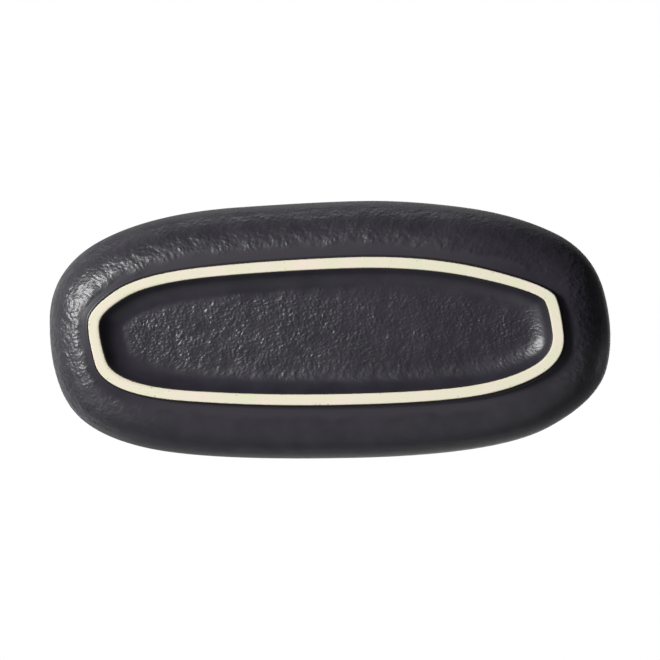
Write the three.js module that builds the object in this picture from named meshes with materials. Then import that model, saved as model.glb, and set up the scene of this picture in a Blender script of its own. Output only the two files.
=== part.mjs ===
// Oval stoneware serving dish on a bare foot ring, with a black coat of glaze outside, one inside and one
// in the panel under the foot. Millimetres, +Z up. The foot stands on z = 0, centred on x and y.
import * as THREE from 'three';

// Overall size of the glazed dish.
const LENGTH = 300;
const WIDTH = 137.5;
const HEIGHT = 42;

// Clay wall and floor.
const WALL = 5.2; // across the lip
const WALL_RISE = 9; // degrees above level at which the wall leaves the foot
const BASE = 5.2; // between the floor inside and the panel underneath
const FLOOR_INSET = 1; // from the foot's outer edge in to where the floor is flat

// Foot ring, and the panel that it surrounds.
const END_RUN = 25; // how far the wall leans out past the foot at each end
const SIDE_RUN = 30; // and along each long side
const FOOT_LAND = 5.8; // across the bare ring, with its rounded edges
const FOOT_EDGE = 0.7; // radius of those edges
const FOOT_HEIGHT = 5; // outside of the ring, up to the line of the wall
const FOOT_FILLET = 1.2; // hollow curve from the ring out to the wall
const PANEL_DEPTH = 8; // from the ring's flat face up to the glazed panel
const PANEL_FILLET = 15; // hollow curve from the ring in to the panel
const PANEL_LEAN = 65; // degrees above level at which that curve leaves the ring

// Glaze.
const GLAZE = 0.5; // thickness of a coat
const GLAZE_EDGE = 0.2; // thickness where a coat was wiped back beside the ring

// Corners of the hulls that the two outlines are drawn in, at the dish's own size. Each curve touches the
// middle of every side of its hull, so close corners turn it sharply. The foot has blunt, slanted ends.
const RIM_HULL = [
  [-149, -36], [-94, -64], [-0.5, -68.5], [45, -68], [101, -59.5], [142, -38.5],
  [152.5, 5.5], [143, 40.5], [88, 68.5], [-68, 69], [-130.5, 54], [-150.5, 20.5],
];
const FOOT_HULL = [
  [-128, -14.5], [-100.5, -32], [-32, -38], [52.5, -39.5], [118.5, -21.5], [123.5, -9],
  [126, 18], [97.5, 34], [53, 40], [-37.5, 40.5], [-122, 32.5], [-130.5, -1],
];

// Heights and widths of the clay that follow from those sizes.
const PANEL_CLAY = PANEL_DEPTH + GLAZE; // underside of the clay inside the ring
const FLOOR_CLAY = PANEL_CLAY + BASE; // clay floor of the well
const LIP_CLAY = HEIGHT - GLAZE - WALL / 2; // where the rounded lip starts
const MEAN_RUN = (END_RUN + SIDE_RUN) / 2 - GLAZE; // middling way from the foot's outline to the rim's

// Points on each curved stretch.
const OUTLINE_STEPS = 6;
const RIM_SEARCH_STEPS = 60;
const EDGE_STEPS = 2;
const FILLET_STEPS = 5;
const WALL_STEPS = 7;
const LIP_STEPS = 3;

/** Closed outline of parabola arcs, one round each hull corner, stretched to fill the square from -1 to 1. */
function squareOutline(hull, steps) {
  const corners = hull.map(([x, y]) => new THREE.Vector2(x, y));
  const middleAfter = (i) => corners.at(i).clone().lerp(corners[(i + 1) % corners.length], 0.5);
  const start = middleAfter(corners.length - 1);
  const path = new THREE.Path().moveTo(start.x, start.y);
  corners.forEach((corner, i) => {
    const end = middleAfter(i);
    path.quadraticCurveTo(corner.x, corner.y, end.x, end.y);
  });
  const points = path.getPoints(steps).slice(0, -1);
  const box = new THREE.Box2().setFromPoints(points);
  const centre = box.getCenter(new THREE.Vector2());
  const half = box.getSize(new THREE.Vector2()).multiplyScalar(0.5);
  return points.map((point) => point.sub(centre).divide(half));
}

/** Distance from the middle of a closed outline to its edge, along the direction of a point. */
function reach(outline, direction) {
  for (let i = 0; i < outline.length; i += 1) {
    const a = outline[i];
    const side = outline[(i + 1) % outline.length].clone().sub(a);
    const turn = direction.cross(side);
    const along = a.cross(direction) / turn;
    const distance = a.cross(side) / turn;
    if (distance > 0 && along >= 0 && along <= 1) return distance * direction.length();
  }
  throw new Error('The outline does not go round its middle.');
}

// The foot's points set the directions, so they lie close together at its corners.
// The rim's outline is met along the same directions.
const foot = squareOutline(FOOT_HULL, OUTLINE_STEPS);
const rim = squareOutline(RIM_HULL, RIM_SEARCH_STEPS);
const spokes = foot.map((point) => ({
  direction: point.clone().normalize(),
  footReach: point.length(),
  rimReach: reach(rim, point),
}));

/**
 * Point of the wall's section. blend goes from 0 on the foot's outline to 1 on the rim's, inset is measured
 * inwards from that outline, and z is the height. A section drawn with such points is carried round the dish.
 */
const at = (blend, inset, z) => new THREE.Vector3(blend, inset, z);

/** Closed loop round the dish through one point of the section. */
function loop({ x: blend, y: inset, z }) {
  const halfLength = LENGTH / 2 - THREE.MathUtils.lerp(END_RUN, GLAZE, blend) - inset;
  const halfWidth = WIDTH / 2 - THREE.MathUtils.lerp(SIDE_RUN, GLAZE, blend) - inset;
  return spokes.map(({ direction, footReach, rimReach }) => {
    const share = THREE.MathUtils.lerp(footReach, rimReach, blend);
    return new THREE.Vector3(halfLength * share * direction.x, halfWidth * share * direction.y, z);
  });
}

/** Curve of the section that leaves its start towards the corner and reaches its end from the corner. */
function bend(start, corner, end, steps) {
  return new THREE.QuadraticBezierCurve3(start, corner, end).getPoints(steps);
}

/** Quarter circle of the lip, from its outside or inside up to the crest in the middle of the wall. */
function lipQuarter(side) {
  return Array.from({ length: LIP_STEPS + 1 }, (_, i) => {
    const angle = (i / LIP_STEPS) * (Math.PI / 2);
    return at(1, (WALL / 2) * (1 - side * Math.cos(angle)), LIP_CLAY + (WALL / 2) * Math.sin(angle));
  });
}

/** Point that stands proud of point i of a section by a thickness, square to the section on its open side. */
function proud(section, i, thickness) {
  const flat = ({ x: blend, y: inset, z }) => new THREE.Vector2(blend * MEAN_RUN - inset, z);
  const before = flat(section[Math.max(i - 1, 0)]);
  const after = flat(section[Math.min(i + 1, section.length - 1)]);
  const along = after.sub(before).normalize();
  return at(section[i].x, section[i].y - along.y * thickness, section[i].z - along.x * thickness);
}

/**
 * Closed solid from a section carried round the dish. A section that doesn't close on itself is capped at its
 * first and last point, level across the middle. Every four-sided patch is cut along its shorter diagonal, so
 * that two pieces that meet on the same stretch of a section meet triangle on triangle.
 */
function carryRound(section, closesOnItself) {
  const loops = section.map(loop);
  const around = spokes.length;
  const points = loops.flat();
  const faces = [];
  const patches = closesOnItself ? loops.length : loops.length - 1;
  for (let i = 0; i < patches; i += 1) {
    for (let j = 0; j < around; j += 1) {
      const next = (j + 1) % around;
      const above = ((i + 1) % loops.length) * around;
      const [a, b, c, d] = [i * around + j, i * around + next, above + next, above + j];
      if (points[a].distanceToSquared(points[c]) < points[b].distanceToSquared(points[d])) {
        faces.push(a, b, c, a, c, d);
      } else {
        faces.push(a, b, d, b, c, d);
      }
    }
  }
  if (!closesOnItself) {
    const last = (loops.length - 1) * around;
    const firstMiddle = points.push(new THREE.Vector3(0, 0, section[0].z)) - 1;
    const lastMiddle = points.push(new THREE.Vector3(0, 0, section.at(-1).z)) - 1;
    for (let j = 0; j < around; j += 1) {
      const next = (j + 1) % around;
      faces.push(firstMiddle, next, j, last + j, last + next, lastMiddle);
    }
  }
  const geometry = new THREE.BufferGeometry().setFromPoints(points);
  geometry.setIndex(faces);
  geometry.computeVertexNormals();
  return geometry;
}

// Clay under the foot: the panel, its hollow curve and the inner edge of the ring.
const panelLean = (PANEL_CLAY - FOOT_EDGE) / Math.tan(THREE.MathUtils.degToRad(PANEL_LEAN));
const panelClay = bend(
  at(0, FOOT_LAND + PANEL_FILLET, PANEL_CLAY),
  at(0, FOOT_LAND + panelLean, PANEL_CLAY),
  at(0, FOOT_LAND, FOOT_EDGE),
  FILLET_STEPS,
);

// The ring that the dish stands on: flat, between two rounded edges.
const innerEdge = bend(
  at(0, FOOT_LAND, FOOT_EDGE),
  at(0, FOOT_LAND, 0),
  at(0, FOOT_LAND - FOOT_EDGE, 0),
  EDGE_STEPS,
);
const outerEdge = bend(at(0, FOOT_EDGE, 0), at(0, 0, 0), at(0, 0, FOOT_EDGE), EDGE_STEPS);

const clayBelow = [...panelClay, ...innerEdge.slice(1), ...outerEdge];

// Clay outside: up the ring's side, through the hollow curve, then out and up to an upright lip.
const rise = Math.tan(THREE.MathUtils.degToRad(WALL_RISE));
const filletEnd = at(FOOT_FILLET / MEAN_RUN, 0, FOOT_HEIGHT + FOOT_FILLET * rise);
const outsideFillet = bend(at(0, 0, FOOT_EDGE), at(0, 0, FOOT_HEIGHT), filletEnd, FILLET_STEPS);
const outsideWall = bend(filletEnd, at(1, 0, FOOT_HEIGHT + MEAN_RUN * rise), at(1, 0, LIP_CLAY), WALL_STEPS);
const outsideClay = [...outsideFillet, ...outsideWall.slice(1), ...lipQuarter(1).slice(1)];

// Clay inside: from the crest of the lip down the wall to the flat floor.
const insideWall = bend(
  at(1, WALL, LIP_CLAY),
  at(1, WALL, FLOOR_CLAY),
  at(0, FLOOR_INSET, FLOOR_CLAY),
  WALL_STEPS + 1,
);
const insideClay = [...lipQuarter(-1).reverse(), ...insideWall.slice(1)];

// Glaze stands on the clay at its full thickness, thins out beside the ring, and meets along the crest.
const clayAbove = [...outsideClay, ...insideClay.slice(1)];
const crest = outsideClay.length - 1;
const ringSide = panelClay.length - 1;
const coatAbove = clayAbove.map((_, i) => proud(clayAbove, i, i === 0 ? GLAZE_EDGE : GLAZE));
const coatBelow = panelClay.map((_, i) => proud(panelClay, i, i === ringSide ? GLAZE_EDGE : GLAZE));

const stoneware = new THREE.MeshStandardMaterial({ color: 0xeee4cd, roughness: 0.85, metalness: 0 });
const blackGlaze = new THREE.MeshStandardMaterial({ color: 0x2b292d, roughness: 0.45, metalness: 0 });

/** Named piece of the dish. */
function piece(name, section, material, closesOnItself = false) {
  const mesh = new THREE.Mesh(carryRound(section, closesOnItself), material);
  mesh.name = name;
  return mesh;
}

const dish = new THREE.Group();
dish.add(
  piece('stoneware_body', [...clayBelow, ...clayAbove.slice(1)], stoneware),
  piece('outside_glaze', [...coatAbove.slice(0, crest + 1), ...outsideClay.toReversed()], blackGlaze, true),
  piece('inside_glaze', [...insideClay.toReversed(), ...coatAbove.slice(crest)], blackGlaze),
  piece('foot_panel_glaze', [...coatBelow, ...panelClay.toReversed()], blackGlaze),
);

export default dish;
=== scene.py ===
# Oval serving dish in black glaze, seen from below. Its clay body and three coats of glaze are worked out as
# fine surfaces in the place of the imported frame's solids. Metres, +Z up. The foot stands on z = 0.
import math

import bmesh
import bpy
import numpy as np
from mathutils import Matrix, Vector


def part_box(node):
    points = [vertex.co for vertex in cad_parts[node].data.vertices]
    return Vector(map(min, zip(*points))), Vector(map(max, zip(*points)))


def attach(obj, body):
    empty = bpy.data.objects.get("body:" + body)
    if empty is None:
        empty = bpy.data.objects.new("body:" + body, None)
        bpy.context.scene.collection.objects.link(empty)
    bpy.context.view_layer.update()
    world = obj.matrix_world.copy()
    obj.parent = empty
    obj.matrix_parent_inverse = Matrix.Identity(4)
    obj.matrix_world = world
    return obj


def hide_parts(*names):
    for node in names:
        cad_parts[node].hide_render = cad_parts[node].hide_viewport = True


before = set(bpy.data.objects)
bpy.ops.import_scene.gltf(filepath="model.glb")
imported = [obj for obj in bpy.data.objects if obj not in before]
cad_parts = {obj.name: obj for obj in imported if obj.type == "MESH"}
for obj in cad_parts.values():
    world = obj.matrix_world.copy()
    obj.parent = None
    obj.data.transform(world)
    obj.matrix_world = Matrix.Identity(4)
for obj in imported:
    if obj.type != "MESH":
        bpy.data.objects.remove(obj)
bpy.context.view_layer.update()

# Clay body
# The dish itself: one lump of pale stoneware, cast in a mould, with wall, lip, base and foot ring in one.
# All of it is glazed but the ring's face, which is wiped bare so that the dish can stand on it in the kiln.
MM = 0.001
WALL = 5.2 * MM
WALL_RISE = math.radians(9)
FLOOR_INSET = 1 * MM
FOOT_LAND = 5.8 * MM
FOOT_EDGE = 0.7 * MM
FOOT_HEIGHT = 5 * MM
FOOT_FILLET = 1.2 * MM
PANEL_FILLET = 15 * MM
PANEL_LEAN = math.radians(65)
RIM_HULL = [
    (-149, -36), (-94, -64), (-0.5, -68.5), (45, -68), (101, -59.5), (142, -38.5),
    (152.5, 5.5), (143, 40.5), (88, 68.5), (-68, 69), (-130.5, 54), (-150.5, 20.5),
]
FOOT_HULL = [
    (-128, -14.5), (-100.5, -32), (-32, -38), (52.5, -39.5), (118.5, -21.5), (123.5, -9),
    (126, 18), (97.5, 34), (53, 40), (-37.5, 40.5), (-122, 32.5), (-130.5, -1),
]
ARC_STEPS = 64
RIM_STEPS = 8000
PANEL_STEPS = 24
EDGE_STEPS = 8
RING_STEPS = 8
FILLET_STEPS = 16
WALL_STEPS = 60
LIP_STEPS = 12
CLAY_AROUND = 720
PANEL_STRIDE = 3
WALL_STRIDE = 4
WELD = 0.001 * MM
clay_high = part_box("stoneware_body")[1]
panel_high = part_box("foot_panel_glaze")[1]
well_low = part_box("inside_glaze")[0]
lip_start = clay_high.z - WALL / 2
rim_half = np.array(clay_high[:2])
foot_half = np.array(panel_high[:2]) + FOOT_LAND
mean_run = float((rim_half - foot_half).mean())


def arcs_round(hull):
    """Closed outline of parabola arcs, one round each corner of a hull, stretched to a square of -1 to 1.
    An arc starts and ends half-way along two sides, and its point at t is (1 - t) squared of its start, plus
    2t(1 - t) of the corner, plus t squared of its end."""
    corner = np.array(hull, float)[:, None]
    start = (corner + np.roll(corner, 1, axis=0)) / 2
    end = np.roll(start, -1, axis=0)
    t = np.linspace(0, 1, ARC_STEPS, endpoint=False)[:, None]
    points = ((1 - t) ** 2 * start + 2 * t * (1 - t) * corner + t**2 * end).reshape(-1, 2)
    middle = (points.max(axis=0) + points.min(axis=0)) / 2
    return (points - middle) / (np.ptp(points, axis=0) / 2)


def reach(outline, angle):
    """Distance from the middle of an outline to its edge at each angle, straight between its points."""
    return np.interp(angle, np.arctan2(*outline.T[::-1]), np.hypot(*outline.T), period=2 * np.pi)


foot_outline = arcs_round(FOOT_HULL)
rim_outline = arcs_round(RIM_HULL)


def even_angles(count):
    """Angles of points that lie evenly along the rim, counted from the +X end. The length along the rim is
    summed over small steps of angle, and the angle is read back from even shares of it."""
    angle = np.linspace(0, 2 * np.pi, RIM_STEPS)
    rim = reach(rim_outline, angle) * np.array([np.cos(angle), np.sin(angle)]) * rim_half[:, None]
    length = np.append(0, np.cumsum(np.hypot(*np.diff(rim, axis=1))))
    return np.interp(np.linspace(0, length[-1], count, endpoint=False), length, angle)


def bend(start, corner, end, steps):
    """Section curve that leaves its start towards a corner and reaches its end from there: the parabola
    (1 - t) squared of the start, plus 2t(1 - t) of the corner, plus t squared of the end."""
    t = np.linspace(0, 1, steps + 1)[:, None]
    return (1 - t) ** 2 * np.array(start) + 2 * t * (1 - t) * np.array(corner) + t**2 * np.array(end)


def lip_quarter(side):
    """Quarter circle from the outside (side 1) or the inside (side -1) of the lip up to its crest."""
    angle = np.linspace(0, np.pi / 2, LIP_STEPS + 1)
    inset = WALL / 2 * (1 - side * np.cos(angle))
    return np.stack([np.ones_like(angle), inset, lip_start + WALL / 2 * np.sin(angle)], axis=1)


def carried_round(section, angle):
    """Grid of points from a section carried round the dish, with a row for each point of the section. Its
    blend goes from 0 on the foot's outline to 1 on the rim's, its inset is taken off the half sizes that
    stretch the outline, and its height is z."""
    blend, inset, height = section.T[:, :, None]
    share = (1 - blend) * reach(foot_outline, angle) + blend * reach(rim_outline, angle)
    x = ((1 - blend) * foot_half[0] + blend * rim_half[0] - inset) * share * np.cos(angle)
    y = ((1 - blend) * foot_half[1] + blend * rim_half[1] - inset) * share * np.sin(angle)
    return np.stack([x, y, height + 0 * x], axis=-1)


def mesh_of(name, grid, closes_on_itself=False, **point_values):
    """Object from a grid of points: four-sided faces between neighbours, round the dish and from row to row,
    and from the last row to the first if the section closes on itself. Points that meet are made one."""
    rows, around = grid.shape[:2]
    index = np.arange(rows * around).reshape(rows, around)
    nearer = index if closes_on_itself else index[:-1]
    farther = np.roll(index, -1, axis=0) if closes_on_itself else index[1:]
    faces = np.stack([nearer, np.roll(nearer, -1, 1), np.roll(farther, -1, 1), farther], axis=-1)
    mesh = bpy.data.meshes.new(name)
    mesh.from_pydata(grid.reshape(-1, 3).tolist(), [], faces.reshape(-1, 4).tolist())
    for attribute, values in point_values.items():
        layer = mesh.attributes.new(attribute, "FLOAT", "POINT")
        layer.data.foreach_set("value", np.broadcast_to(values, (rows, around)).ravel())
    welded = bmesh.new()
    welded.from_mesh(mesh)
    bmesh.ops.remove_doubles(welded, verts=welded.verts, dist=WELD)
    welded.to_mesh(mesh)
    welded.free()
    mesh.shade_smooth()
    piece = bpy.data.objects.new(name, mesh)
    bpy.context.scene.collection.objects.link(piece)
    return piece


panel_lean = (panel_high.z - FOOT_EDGE) / math.tan(PANEL_LEAN)
panel_clay = bend(
    (0, FOOT_LAND + PANEL_FILLET, panel_high.z),
    (0, FOOT_LAND + panel_lean, panel_high.z),
    (0, FOOT_LAND, FOOT_EDGE),
    PANEL_STEPS,
)
ring_inner_edge = bend(
    (0, FOOT_LAND, FOOT_EDGE),
    (0, FOOT_LAND, 0),
    (0, FOOT_LAND - FOOT_EDGE, 0),
    EDGE_STEPS,
)
ring_outer_edge = bend((0, FOOT_EDGE, 0), (0, 0, 0), (0, 0, FOOT_EDGE), EDGE_STEPS)
ring_face = np.linspace(ring_inner_edge[-1], ring_outer_edge[0], RING_STEPS + 1)
rise = math.tan(WALL_RISE)
fillet_end = (FOOT_FILLET / mean_run, 0, FOOT_HEIGHT + FOOT_FILLET * rise)
outside_fillet = bend((0, 0, FOOT_EDGE), (0, 0, FOOT_HEIGHT), fillet_end, FILLET_STEPS)
outside_wall = bend(fillet_end, (1, 0, FOOT_HEIGHT + mean_run * rise), (1, 0, lip_start), WALL_STEPS)
outside_clay = np.concatenate([outside_fillet, outside_wall[1:], lip_quarter(1)[1:]])
inside_wall = bend((1, WALL, lip_start), (1, WALL, well_low.z), (0, FLOOR_INSET, well_low.z), WALL_STEPS)
inside_clay = np.concatenate([lip_quarter(-1)[::-1], inside_wall[1:]])

# Under the glaze the clay takes only every third or fourth point of the curves.
clay_section = np.concatenate([
    panel_clay[::PANEL_STRIDE],
    ring_inner_edge[1:],
    ring_face[1:],
    ring_outer_edge[1:],
    outside_clay[1::WALL_STRIDE],
    inside_clay[WALL_STRIDE - 1 :: WALL_STRIDE],
])
clay_grid = carried_round(clay_section, even_angles(CLAY_AROUND))
panel_middle = clay_grid[:1] * [0, 0, 1]
floor_middle = clay_grid[-1:] * [0, 0, 1]
inwards = np.pad(clay_section[:, 1] / FOOT_LAND, 1)[:, None]
clay_body = mesh_of("clay_body", np.concatenate([panel_middle, clay_grid, floor_middle]), inwards=inwards)


def add(tree, kind, sockets=None, **settings):
    """New shader node. Its settings are set by name, and sockets gives each input a value or an output to
    link."""
    made = tree.nodes.new("ShaderNode" + kind)
    for name, value in settings.items():
        setattr(made, name, value)
    for name, value in (sockets or {}).items():
        if isinstance(value, bpy.types.NodeSocket):
            tree.links.new(value, made.inputs[name])
        else:
            made.inputs[name].default_value = value
    return made


def new_finish(name):
    """New material with a Principled shader, as the material, its node tree and that shader."""
    material = bpy.data.materials.new(name)
    material.use_nodes = True
    return material, material.node_tree, material.node_tree.nodes["Principled BSDF"]


def ranged(tree, value, start=0, end=1, low=0, high=1, **settings):
    """Output that goes from low to high as a value goes from start to end, and stays level beyond them."""
    return add(tree, "MapRange", {"Value": value, 1: start, 2: end, 3: low, 4: high}, **settings).outputs[0]


def reckoned(tree, operation, *values):
    """Output of one step of arithmetic, such as MULTIPLY or MAXIMUM, on one or two values."""
    return add(tree, "Math", dict(enumerate(values)), operation=operation).outputs[0]


def colours_between(tree, factor, first, second):
    """Colour output that goes from the first colour to the second as a factor goes from 0 to 1. The first
    may be another colour output."""
    first = first if isinstance(first, bpy.types.NodeSocket) else (*first, 1)
    return add(tree, "Mix", {0: factor, 6: first, 7: (*second, 1)}, data_type="RGBA").outputs[2]


# Fired cream clay: faint warm and cool clouds, brown specks of iron, tan staining on the rounded edges where
# glaze was sponged off, a dry grain, and a tan line of painted shade along the inner edge at the -X
# end, where that rounded edge faces away from the lamp.
CREAM_WARM = (0.86, 0.75, 0.64)
CREAM_COOL = (0.75, 0.765, 0.56)
IRON_SPECK = (0.36, 0.27, 0.17)
# The tan below serves both the staining where glaze was sponged off and the painted shade on the inner edge
# at the -X end.
SPONGED_STAIN_AND_SHADE = (0.42, 0.33, 0.20)
CREAM_CLOUD_SCALE = 55
SPECK_SCALE = 390
STAIN_SCALE = 700
GRAIN_SCALE = 2600
GRAIN_DEPTH = 0.06 * MM
STAIN_LOW = 0.02 * MM
STAIN_HIGH = 0.4 * MM
# Along X, where the painted shade on the ring's inner edge starts and where it is full.
LEFT_SHADE_START = -70 * MM
LEFT_SHADE_FULL = -115 * MM
bare_clay, tree, shader = new_finish("bare_clay")
place = add(tree, "TexCoord").outputs["Object"]
clouds = add(tree, "TexNoise", {"Vector": place, "Scale": CREAM_CLOUD_SCALE, "Detail": 3})
cloud = ranged(tree, clouds.outputs["Fac"], 0.3, 0.7)
cream = colours_between(tree, cloud, CREAM_WARM, CREAM_COOL)
dots = add(tree, "TexVoronoi", {"Vector": place, "Scale": SPECK_SCALE, "Randomness": 1})
dot = ranged(tree, dots.outputs["Distance"], 0.08, 0.22, low=0.8, high=0)
rare = ranged(tree, dots.outputs["Color"], 0.5, 0.62)
inward = add(tree, "Attribute", attribute_name="inwards").outputs["Fac"]
off_middle = reckoned(tree, "ABSOLUTE", reckoned(tree, "SUBTRACT", inward, 0.5))
near_edge = ranged(tree, off_middle, 0.2, 0.42, low=0.2)
speck = reckoned(tree, "MULTIPLY", reckoned(tree, "MULTIPLY", dot, rare), near_edge)
axes = add(tree, "SeparateXYZ", {0: place})
ragged = add(tree, "TexNoise", {"Vector": place, "Scale": STAIN_SCALE, "Detail": 3}).outputs["Fac"]
edge = ranged(tree, axes.outputs["Z"], STAIN_LOW, STAIN_HIGH, high=1.9)
edge_stain = reckoned(tree, "MULTIPLY", edge, ragged)
# Painted shade: a tan line along the ring's inner edge at the -X end, where that rounded edge faces away
# from the lamp.
shaded_end = ranged(tree, axes.outputs["X"], LEFT_SHADE_START, LEFT_SHADE_FULL, high=0.9)
shaded_inner_edge = ranged(tree, inward, 0.68, 0.95)
painted_shade_line = reckoned(tree, "MULTIPLY", reckoned(tree, "MULTIPLY", shaded_end, shaded_inner_edge), ragged)
stain_and_shade = reckoned(tree, "MAXIMUM", edge_stain, painted_shade_line)
stained_and_shaded = colours_between(tree, stain_and_shade, cream, SPONGED_STAIN_AND_SHADE)
specked = colours_between(tree, speck, stained_and_shaded, IRON_SPECK)
grain = add(tree, "TexNoise", {"Vector": place, "Scale": GRAIN_SCALE, "Detail": 6, "Roughness": 0.65})
dryness = ranged(tree, grain.outputs["Fac"], low=0.72, high=0.95)
tooth = add(tree, "Bump", {"Height": grain.outputs["Fac"], "Strength": 0.5, "Distance": GRAIN_DEPTH})
tree.links.new(specked, shader.inputs["Base Color"])
tree.links.new(dryness, shader.inputs["Roughness"])
tree.links.new(tooth.outputs[0], shader.inputs["Normal"])
shader.inputs["Specular IOR Level"].default_value = 0.3
clay_body.data.materials.append(bare_clay)
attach(clay_body, "root")
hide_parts("stoneware_body")

# Outside coat of glaze
# Black glaze sprayed over the wall from the ring's outer edge to the crest of the lip, then fired on. It
# is crumpled on the wall, smooth beside the ring and at the lip, and nearly smooth along the +Y side. It is
# paler beside the ring along its long sides, partly as thinner glaze and partly as painted light, and matt
# low on the +X end and high on the -Y side.
GLAZE = 0.5 * MM
GLAZE_EDGE = 0.2 * MM
WIPED_ROWS = 4
WALL_RELIEF = 0.85 * MM
WALL_PEBBLE = 1.15 * MM
RELIEF_START = 4 * MM
RELIEF_FULL = 8 * MM
RELIEF_TOP = 34 * MM
RELIEF_DROP = 5 * MM
DROP_START = -130 * MM
DROP_FULL = -85 * MM
RELIEF_FADE = 14 * MM
PLUS_Y_LOSS = 0.85
MINUS_Y_LOSS = 0.3
RELIEF_ROW = 0.62 * MM
UPPER_ROW = 1.6 * MM
COAT_AROUND = 1050
WANDER = 3 * MM
WANDER_SPACING = 9 * MM
PATCH_SPACING = 7 * MM
PALE_BAND_FULL = 4.5 * MM
PALE_BAND_END = 8 * MM
END_MATT_FULL = 22 * MM
END_MATT_TOP = 30 * MM
SIDE_MATT_START = 13 * MM
SIDE_MATT_FULL = 21 * MM
SIDE_MATT = 0.85
UNROLLED_RADIUS = 110 * MM
UNROLLED_RISE = 0.85
LATTICE = 32
BEHIND_STRIDE = 12


def flat(section):
    """A section laid out in its own plane: distance out from the foot's outline, and height."""
    return np.stack([section[:, 0] * mean_run - section[:, 1], section[:, 2]], axis=1)


def length_along(section):
    """Length along a section up to each of its points, as the sum of the straight steps between them."""
    return np.append(0, np.cumsum(np.linalg.norm(np.diff(flat(section), axis=0), axis=1)))


def respaced(section, spacing):
    """The same section with its points about a spacing apart, read off against the length along it."""
    length = length_along(section)
    even = np.linspace(0, length[-1], round(length[-1] / spacing) + 1)
    return np.stack([np.interp(even, length, part) for part in section.T], axis=1)


def smooth_step(value, start, end):
    """0 before start, 1 after end, and 3t^2 - 2t^3 between them."""
    t = np.clip((value - start) / (end - start), 0, 1)
    return t * t * (3 - 2 * t)


def wiped_thickness(rows):
    """Thickness of a coat at each row out from the ring: that of its wiped edge, plus a smooth step up to
    the full thickness over a few rows."""
    return GLAZE_EDGE + (GLAZE - GLAZE_EDGE) * smooth_step(np.arange(rows), -1, WIPED_ROWS)


def proud(section, thickness):
    """The section moved out by a thickness, square to its own direction, on its open side."""
    along = np.gradient(flat(section), axis=0)
    along = along / np.linalg.norm(along, axis=1, keepdims=True) * np.reshape(thickness, (-1, 1))
    return section - np.stack([0 * along[:, 0], along[:, 1], along[:, 0]], axis=1)


def outward(grid):
    """Unit normal at each grid point: the step to the next neighbour round the dish crossed with the step to
    the next row."""
    around = np.roll(grid, -1, axis=1) - np.roll(grid, 1, axis=1)
    normal = np.cross(around, np.gradient(grid, axis=0))
    return normal / np.linalg.norm(normal, axis=-1, keepdims=True)


def random_height(points, spacing, seed):
    """Smooth random height, about -0.7 to 0.7, at each point. Every corner of a cubic lattice has a random
    slope, and the heights of a cell's eight slopes are blended across it by 6t^5 - 15t^4 + 10t^3 along each
    axis."""
    slopes = np.random.default_rng(seed).normal(size=(LATTICE, LATTICE, LATTICE, 3))
    slopes /= np.linalg.norm(slopes, axis=-1, keepdims=True)
    cell = np.floor(points / spacing).astype(int)
    part = points / spacing - cell
    ease = part**3 * (part * (part * 6 - 15) + 10)
    total = 0
    for corner in np.ndindex(2, 2, 2):
        slope = slopes[tuple(np.moveaxis((cell + corner) % LATTICE, -1, 0))]
        weight = np.prod(np.where(corner, ease, 1 - ease), axis=-1)
        total = total + weight * np.sum(slope * (part - corner), axis=-1)
    return total


def crumpled(points, pebble):
    """Height of the crumpled relief, about 0 to 1: 0.3, plus 0.55 of rounded pebbles of a set spacing, plus
    0.7 of creases where a second random height crosses zero, plus 0.4 of broad swells. The pebbles and
    creases are looked up at points that are pushed aside by a coarser random height."""
    push = np.stack([random_height(points, 2 * pebble, seed) for seed in (1, 2, 3)], axis=-1)
    pushed = points + push * pebble
    pebbles = random_height(pushed, pebble, 4)
    creases = np.abs(random_height(pushed, 1.4 * pebble, 5))
    swells = random_height(points, 3 * pebble, 9)
    return 0.3 + 0.55 * pebbles + 0.7 * creases + 0.4 * swells


crumpled_clay = respaced(outside_clay[outside_clay[:, 2] < RELIEF_TOP], RELIEF_ROW)
upper_clay = respaced(outside_clay[outside_clay[:, 2] >= RELIEF_TOP], UPPER_ROW)
coat_clay = np.concatenate([crumpled_clay, upper_clay])
coat_angles = even_angles(COAT_AROUND)
coat_grid = carried_round(proud(coat_clay, wiped_thickness(len(coat_clay))), coat_angles)
along_x = coat_grid[..., 0]
height = coat_grid[..., 2]

# Which way the wall faces, from -1 to 1 along the dish and across it.
facing = coat_grid[..., :2] / rim_half
facing = facing / np.linalg.norm(facing, axis=-1, keepdims=True)
facing_x = facing[..., 0]
facing_y = facing[..., 1]

# The relief starts a little way out from the ring and fades towards the lip, sooner away from the -X end.
# Its edges wander. It is faint on the +Y side, lower on the -Y side, and patchy all over.
out_from_foot = flat(coat_clay)[:, :1]
wander = WANDER * random_height(coat_grid, WANDER_SPACING, 6)
wall_relief = smooth_step(out_from_foot + wander, RELIEF_START, RELIEF_FULL)
relief_top = RELIEF_TOP - RELIEF_DROP * smooth_step(along_x, DROP_START, DROP_FULL)
wall_relief = wall_relief * smooth_step(height + wander, relief_top, relief_top - RELIEF_FADE)
wall_relief = wall_relief * (1 - PLUS_Y_LOSS * smooth_step(facing_y + 0.2 * facing_x, 0.35, 0.75))
wall_relief = wall_relief * (1 - MINUS_Y_LOSS * smooth_step(facing_y, -0.5, -0.85))
wall_relief = wall_relief * np.clip(0.9 + 0.7 * random_height(coat_grid, PATCH_SPACING, 8), 0.4, 1.2)

# The matt parts, and the paler band beside the ring on the long sides, which is painted light as well as
# thinner glaze.
end_matt = smooth_step(facing_x, 0.3, 0.75) * smooth_step(facing_y, 0.5, -0.05)
end_matt = end_matt * smooth_step(height, END_MATT_TOP, END_MATT_FULL)
side_matt = smooth_step(facing_y, -0.4, -0.75) * smooth_step(height, SIDE_MATT_START, SIDE_MATT_FULL)
wall_matt = np.maximum(end_matt, SIDE_MATT * side_matt)
thin_lit_band = smooth_step(out_from_foot + wander, PALE_BAND_END, PALE_BAND_FULL)
thin_lit_band = thin_lit_band * smooth_step(np.abs(facing_y), 0.45, 0.75)

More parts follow.
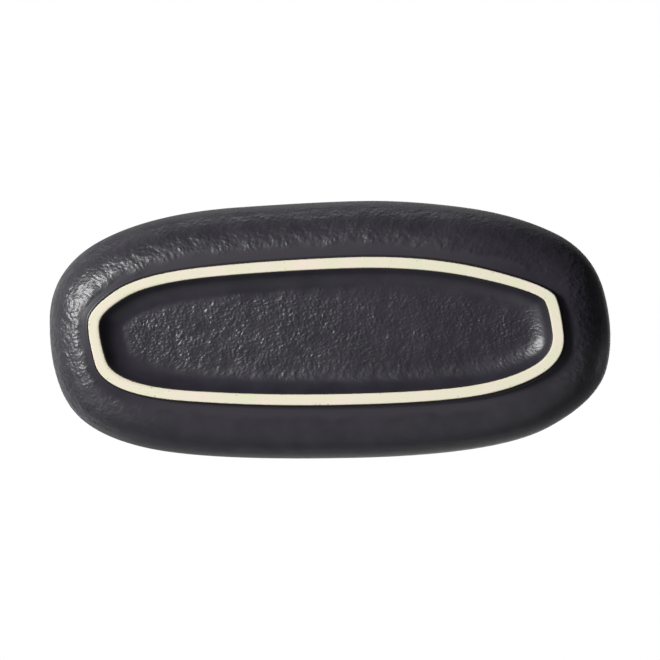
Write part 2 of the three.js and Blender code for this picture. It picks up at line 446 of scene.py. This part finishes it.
# The pebbles are looked up as if the wall were a round tub, so that they aren't drawn out on its slope.
turn = np.linspace(0, 2 * np.pi, COAT_AROUND, endpoint=False)
unrolled = np.stack(
    np.broadcast_arrays(
        UNROLLED_RADIUS * np.cos(turn),
        UNROLLED_RADIUS * np.sin(turn),
        UNROLLED_RISE * length_along(coat_clay)[:, None],
    ),
    axis=-1,
)
raised = WALL_RELIEF * wall_relief * crumpled(unrolled, WALL_PEBBLE)
coat_grid = coat_grid + outward(coat_grid) * raised[..., None]
behind_coat = carried_round(outside_clay[::-1][::BEHIND_STRIDE], coat_angles)
none_behind = 0 * behind_coat[..., 0]
outside_coat = mesh_of(
    "outside_coat",
    np.concatenate([coat_grid, behind_coat]),
    closes_on_itself=True,
    relief=np.concatenate([wall_relief, none_behind]),
    matt=np.concatenate([wall_matt, none_behind]),
    thin=np.concatenate([thin_lit_band, none_behind]),
)

# Satin black glaze: soft clouds of tone, a paler, browner band that is painted light with thinner glaze
# where a piece marks it, browner up at the lip, drier towards the lip, glossier where the relief is, matt
# where the piece is marked so, and finely rippled where the relief is.
GLAZE_DEEP = (0.0235, 0.0216, 0.0290)
GLAZE_THIN = (0.0332, 0.0308, 0.0397)
# Colour of the paler band beside the ring: painted light, with thinner glaze.
GLAZE_THIN_LIT_BAND = (0.0425, 0.0385, 0.0480)
GLAZE_LIP = (0.0370, 0.0350, 0.0400)
GLAZE_CLOUD_SCALE = 70
RIPPLE_SCALE = 1000
WALL_RIPPLE = 0.2 * MM
LIP_TONE_START = 24 * MM
LIP_TONE_FULL = 42 * MM
DRY_START = 11 * MM
DRY_FULL = 20 * MM
WET_ROUGHNESS = 0.37
DRY_ROUGHNESS = 0.62
RELIEF_ROUGHNESS = 0.41
MATT_ROUGHNESS = 0.72
SMOOTH_GLOSS = 0.3
RELIEF_GLOSS = 0.9
MATT_GLOSS = 0.1
SMOOTH_RIPPLE = 0.04


def black_glaze(name, ripple):
    """Satin black glaze, with a fine ripple of a set height. Tone, roughness and gloss go by the height on
    the dish and by the point values for the paler band, the relief and the matt parts, where a piece has
    them.
    The paler band is painted light together with thinner glaze."""
    material, tree, shader = new_finish(name)
    place = add(tree, "TexCoord").outputs["Object"]
    height = add(tree, "SeparateXYZ", {0: place}).outputs["Z"]
    thin = add(tree, "Attribute", attribute_name="thin").outputs["Fac"]
    relief = add(tree, "Attribute", attribute_name="relief").outputs["Fac"]
    matt = add(tree, "Attribute", attribute_name="matt").outputs["Fac"]
    clouds = add(tree, "TexNoise", {"Vector": place, "Scale": GLAZE_CLOUD_SCALE, "Detail": 5})
    tone = ranged(tree, clouds.outputs["Fac"], 0.35, 0.68)
    black = colours_between(tree, tone, GLAZE_DEEP, GLAZE_THIN)
    # Painted light with thinner glaze: the band beside the ring is made paler in colour.
    banded = colours_between(tree, thin, black, GLAZE_THIN_LIT_BAND)
    lip = ranged(tree, height, LIP_TONE_START, LIP_TONE_FULL, high=0.8)
    worn = colours_between(tree, lip, banded, GLAZE_LIP)
    dry = ranged(tree, height, DRY_START, DRY_FULL, WET_ROUGHNESS, DRY_ROUGHNESS)
    shine = ranged(tree, relief, low=dry, high=RELIEF_ROUGHNESS)
    shine = ranged(tree, matt, low=shine, high=MATT_ROUGHNESS)
    gloss = ranged(tree, relief, low=SMOOTH_GLOSS, high=RELIEF_GLOSS)
    gloss = ranged(tree, matt, low=gloss, high=MATT_GLOSS)
    fine = add(tree, "TexNoise", {"Vector": place, "Scale": RIPPLE_SCALE, "Detail": 2})
    rippled = reckoned(tree, "MULTIPLY", fine.outputs["Fac"], ranged(tree, relief, low=SMOOTH_RIPPLE))
    bump = add(tree, "Bump", {"Height": rippled, "Strength": 1, "Distance": ripple})
    tree.links.new(worn, shader.inputs["Base Color"])
    tree.links.new(shine, shader.inputs["Roughness"])
    tree.links.new(bump.outputs[0], shader.inputs["Normal"])
    tree.links.new(gloss, shader.inputs["Specular IOR Level"])
    return material


pebbled_glaze = black_glaze("pebbled_black_glaze", WALL_RIPPLE)
outside_coat.data.materials.append(pebbled_glaze)
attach(outside_coat, "root")
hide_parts("outside_glaze")

# Inside coat of glaze
# The same black glaze poured into the well, so it covers the wall and floor inside as a smooth satin face.
# It meets the outside coat along the crest of the lip.
WELL_ROW = 0.9 * MM
FLOOR_ROWS = 26
BEHIND_ROWS = 3
WELL_AROUND = 720
WELL_RIPPLE = 0.05 * MM


def drawn_to_spine(loop, rows):
    """Rows of points from a closed loop in to a straight spine along the middle of the dish. The spine is
    the loop's length less its width, and a point's place on it follows from its place in the loop alone, so
    that the two long sides end on the same points. Row k of n lies k/n of the way in."""
    count = len(loop)
    spine = np.ptp(loop[:, 0]) / 2 - np.ptp(loop[:, 1]) / 2
    quarter = np.linalg.norm(loop - np.roll(loop, 1, axis=0), axis=1).sum() / 4
    turn = np.minimum(np.arange(count), count - np.arange(count)) / count
    end = np.stack([np.clip(quarter * (1 - 4 * turn), -spine, spine), 0 * turn, loop[:, 2]], axis=1)
    share = np.linspace(0, 1, rows + 1)[1:, None, None]
    return (1 - share) * loop + share * end


well_angles = even_angles(WELL_AROUND)
well_grid = carried_round(proud(respaced(inside_clay, WELL_ROW), GLAZE), well_angles)
well_floor = drawn_to_spine(well_grid[-1], FLOOR_ROWS)
behind_well = carried_round(inside_clay[::BEHIND_STRIDE], well_angles)
behind_floor = drawn_to_spine(behind_well[-1], BEHIND_ROWS)
inside_coat = mesh_of(
    "inside_coat",
    np.concatenate([behind_floor[::-1], behind_well[::-1], well_grid, well_floor]),
    relief=0.0,
)
smooth_glaze = black_glaze("smooth_black_glaze", WELL_RIPPLE)
inside_coat.data.materials.append(smooth_glaze)
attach(inside_coat, "root")
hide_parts("inside_glaze")

# Coat of glaze in the foot's panel
# The part of the outside coat that the wiped ring cuts off: black glaze over the sunk panel under the dish.
# It is smooth in the hollow beside the ring, crumpled over the flat of the panel, and duller towards +X.
PANEL_RELIEF = 0.56 * MM
PANEL_PEBBLE = 1.3 * MM
PANEL_ROWS = 58
HOLLOW_ROW = 0.7 * MM
PANEL_AROUND = 1040
SMOOTH_MARGIN = 6 * MM
MARGIN_ALONG = 4.5 * MM
MARGIN_ACROSS = 2 * MM
MARGIN_FADE = 5 * MM
LOWER_START = -30 * MM
LOWER_FULL = 50 * MM
DULL_FULL = 96 * MM
DULL_END = 108 * MM
RIGHT_LOSS = 0.3
RIGHT_DULLING = 0.45
PANEL_GLOSS = 0.7
panel_angles = even_angles(PANEL_AROUND)
hollow_clay = respaced(panel_clay[::-1], HOLLOW_ROW)
hollow_face = proud(hollow_clay[::-1], wiped_thickness(len(hollow_clay))[::-1])[::-1]
hollow_grid = carried_round(hollow_face, panel_angles)
panel_face = np.concatenate([hollow_grid, drawn_to_spine(hollow_grid[-1], PANEL_ROWS)])
along_x = panel_face[..., 0]
across_y = panel_face[..., 1]
to_spine = np.linspace(0, foot_half[1] - FOOT_LAND - PANEL_FILLET, PANEL_ROWS + 1)
in_from_ring = np.append(hollow_clay[:, 1] - FOOT_LAND, PANEL_FILLET + to_spine[1:])[:, None]

# The smooth margin is widest at the -X end and on the -Y side, and the relief is lower towards +X.
smooth_margin = SMOOTH_MARGIN - MARGIN_ALONG * along_x / foot_half[0]
smooth_margin = smooth_margin - MARGIN_ACROSS * across_y / foot_half[1]
wander = WANDER * random_height(panel_face, WANDER_SPACING, 7)
to_right = smooth_step(along_x, LOWER_START, LOWER_FULL)
panel_relief = smooth_step(in_from_ring + wander - smooth_margin, 0, MARGIN_FADE)
panel_relief = panel_relief * (1 - RIGHT_LOSS * to_right)
panel_relief = panel_relief * np.clip(0.9 + 0.8 * random_height(panel_face, PATCH_SPACING, 8), 0.4, 1.2)
duller = to_right * smooth_step(along_x, DULL_END, DULL_FULL)
panel_gloss = PANEL_GLOSS * panel_relief * (1 - RIGHT_DULLING * duller)
panel_face[..., 2] -= PANEL_RELIEF * panel_relief * crumpled(panel_face, PANEL_PEBBLE)
behind_hollow = carried_round(panel_clay[::-PANEL_STRIDE], panel_angles)
behind_panel = np.concatenate([behind_hollow, drawn_to_spine(behind_hollow[-1], BEHIND_ROWS)])
panel_coat = mesh_of(
    "panel_coat",
    np.concatenate([panel_face[::-1], behind_panel]),
    relief=np.concatenate([panel_gloss[::-1], 0 * behind_panel[..., 0]]),
)
panel_coat.data.materials.append(pebbled_glaze)
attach(panel_coat, "root")
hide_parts("foot_panel_glaze")

# Floor
# A plain pale floor under the dish, which fades into the white round it. It shows from above only, so that
# the camera below sees the underside. It glows a little, and throws no light or shadow on the dish.
FLOOR_PALE = (0.80, 0.80, 0.79)
FLOOR_HALF = 6.0
FLOOR_GAP = 0.02 * MM
FLOOR_GLOW = 0.22
FLOOR_FADE_START = 0.35
FLOOR_FADE_END = 1.3
floor_mesh = bpy.data.meshes.new("floor")
floor_square = np.array([(-1, -1, 0), (1, -1, 0), (1, 1, 0), (-1, 1, 0)])
floor_corners = floor_square * FLOOR_HALF - [0, 0, FLOOR_GAP]
floor_mesh.from_pydata(floor_corners.tolist(), [], [(0, 1, 2, 3)])
floor = bpy.data.objects.new("floor", floor_mesh)
bpy.context.scene.collection.objects.link(floor)
pale_floor, tree, shader = new_finish("pale_floor")
shader.inputs["Base Color"].default_value = (*FLOOR_PALE, 1)
shader.inputs["Roughness"].default_value = 0.9
shader.inputs["Specular IOR Level"].default_value = 0.1
place = add(tree, "TexCoord").outputs["Object"]
distance = add(tree, "VectorMath", {0: place}, operation="LENGTH").outputs["Value"]
far = ranged(tree, distance, FLOOR_FADE_START, FLOOR_FADE_END, interpolation_type="SMOOTHSTEP")
white = add(tree, "Emission")
glow = add(tree, "Emission", {"Strength": FLOOR_GLOW})
pale = add(tree, "AddShader", {0: shader.outputs[0], 1: glow.outputs[0]})
spread = add(tree, "MixShader", {0: far, 1: pale.outputs[0], 2: white.outputs[0]})
below = add(tree, "NewGeometry").outputs["Backfacing"]
clear = add(tree, "BsdfTransparent")
one_sided = add(tree, "MixShader", {0: below, 1: spread.outputs[0], 2: clear.outputs[0]})
tree.links.new(one_sided.outputs[0], tree.nodes["Material Output"].inputs["Surface"])
floor_mesh.materials.append(pale_floor)
floor.visible_diffuse = False
floor.visible_glossy = False
floor.visible_transmission = False
floor.visible_shadow = False

# Light
# One strong soft lamp low on the left of the underside, with three weak ones below. One lamp hangs over the
# dish, with three more above its sides that light the edges. The room is dim, but the camera sees it white,
# and in the glaze's shine it has a white sheet behind the dish that falls into shade on the right.
ROOM_LEVEL = 0.06
SHEET_LEVEL = 1.0
world = bpy.data.worlds.new("dim_room")
world.use_nodes = True
bpy.context.scene.world = world
tree = world.node_tree
towards = add(tree, "SeparateXYZ", {0: add(tree, "TexCoord").outputs["Generated"]}).outputs
lamp_side = ranged(tree, towards["Y"], 0.2, -0.8, high=0.35)
left_side = ranged(tree, towards["X"], -0.1, -0.9, high=0.25)
lower = reckoned(tree, "MAXIMUM", lamp_side, left_side)
raised = reckoned(tree, "ADD", towards["Z"], lower)
behind = ranged(tree, raised, 0.1, 0.95, high=0.85, interpolation_type="SMOOTHSTEP")
lit_side = ranged(tree, towards["X"], 0.55, -0.05, low=0.1)
sheet = reckoned(tree, "MULTIPLY", behind, lit_side)
rays = add(tree, "LightPath").outputs
clear_rays = reckoned(tree, "MAXIMUM", rays["Is Glossy Ray"], rays["Is Transmission Ray"])
mirrored = reckoned(tree, "MULTIPLY", clear_rays, sheet)
shown = reckoned(tree, "MAXIMUM", rays["Is Camera Ray"], mirrored)
room = tree.nodes["Background"]
room.inputs["Color"].default_value = (1, 1, 1, 1)
tree.links.new(ranged(tree, shown, low=ROOM_LEVEL, high=SHEET_LEVEL), room.inputs["Strength"])


def soft_lamp(name, place, side, watts):
    """Square lamp that faces the dish: its -Z axis lies along the line from its place to the origin."""
    data = bpy.data.lights.new(name, "AREA")
    data.size = side
    data.energy = watts
    lamp = bpy.data.objects.new(name, data)
    lamp.location = place
    lamp.rotation_euler = (-Vector(place)).to_track_quat("-Z", "Y").to_euler()
    bpy.context.scene.collection.objects.link(lamp)


soft_lamp("left_lamp", (-4.08, -1.73, -4.02), 1.5, 420)
soft_lamp("high_card", (-0.7, -1.0, -1.9), 1.2, 3)
soft_lamp("corner_card", (-1.7, 1.0, -1.2), 1.6, 7)
soft_lamp("low_card", (0.4, 1.75, -1.0), 2.4, 10)
soft_lamp("over_lamp", (0.1, 0.1, 2.2), 1.2, 22)
soft_lamp("back_lamp", (-0.2, -1.6, 1.9), 1.2, 15)
soft_lamp("front_lamp", (0.2, 1.4, 2.0), 1.2, 5)
soft_lamp("right_lamp", (2.0, 0.2, 1.5), 1.2, 4)

# Camera
# It looks up at the underside, a little off to the +X end and the -Y side, and slightly rolled, so the long
# axis rises to the right as it does in the photograph.
CAMERA_DISTANCE = 1.9
CAMERA_TO_END = math.radians(3.35)
CAMERA_TO_SIDE = math.radians(1.1)
CAMERA_ROLL = math.radians(1.07)
CAMERA_AIM = Vector((0.3 * MM, 0, 39 * MM))
PICTURE_WIDTH = 0.3535
SENSOR_WIDTH = 36
VIEW_DEPTH = 100
camera_data = bpy.data.cameras.new("camera")
camera = bpy.data.objects.new("camera", camera_data)
bpy.context.scene.collection.objects.link(camera)
offset = Vector((math.tan(CAMERA_TO_END), -math.tan(CAMERA_TO_SIDE), -1))
camera.location = CAMERA_AIM + offset * CAMERA_DISTANCE
sight = CAMERA_AIM - camera.location
forward = sight.normalized()
right = Vector((math.cos(CAMERA_ROLL), math.sin(CAMERA_ROLL), 0))
up = right.cross(forward).normalized()
right = forward.cross(up)
camera.rotation_euler = Matrix((right, up, -forward)).transposed().to_euler()
camera_data.sensor_width = SENSOR_WIDTH
camera_data.lens = SENSOR_WIDTH * sight.length / PICTURE_WIDTH
camera_data.clip_end = VIEW_DEPTH
bpy.context.scene.camera = camera
bpy.context.scene.view_settings.view_transform = "Standard"
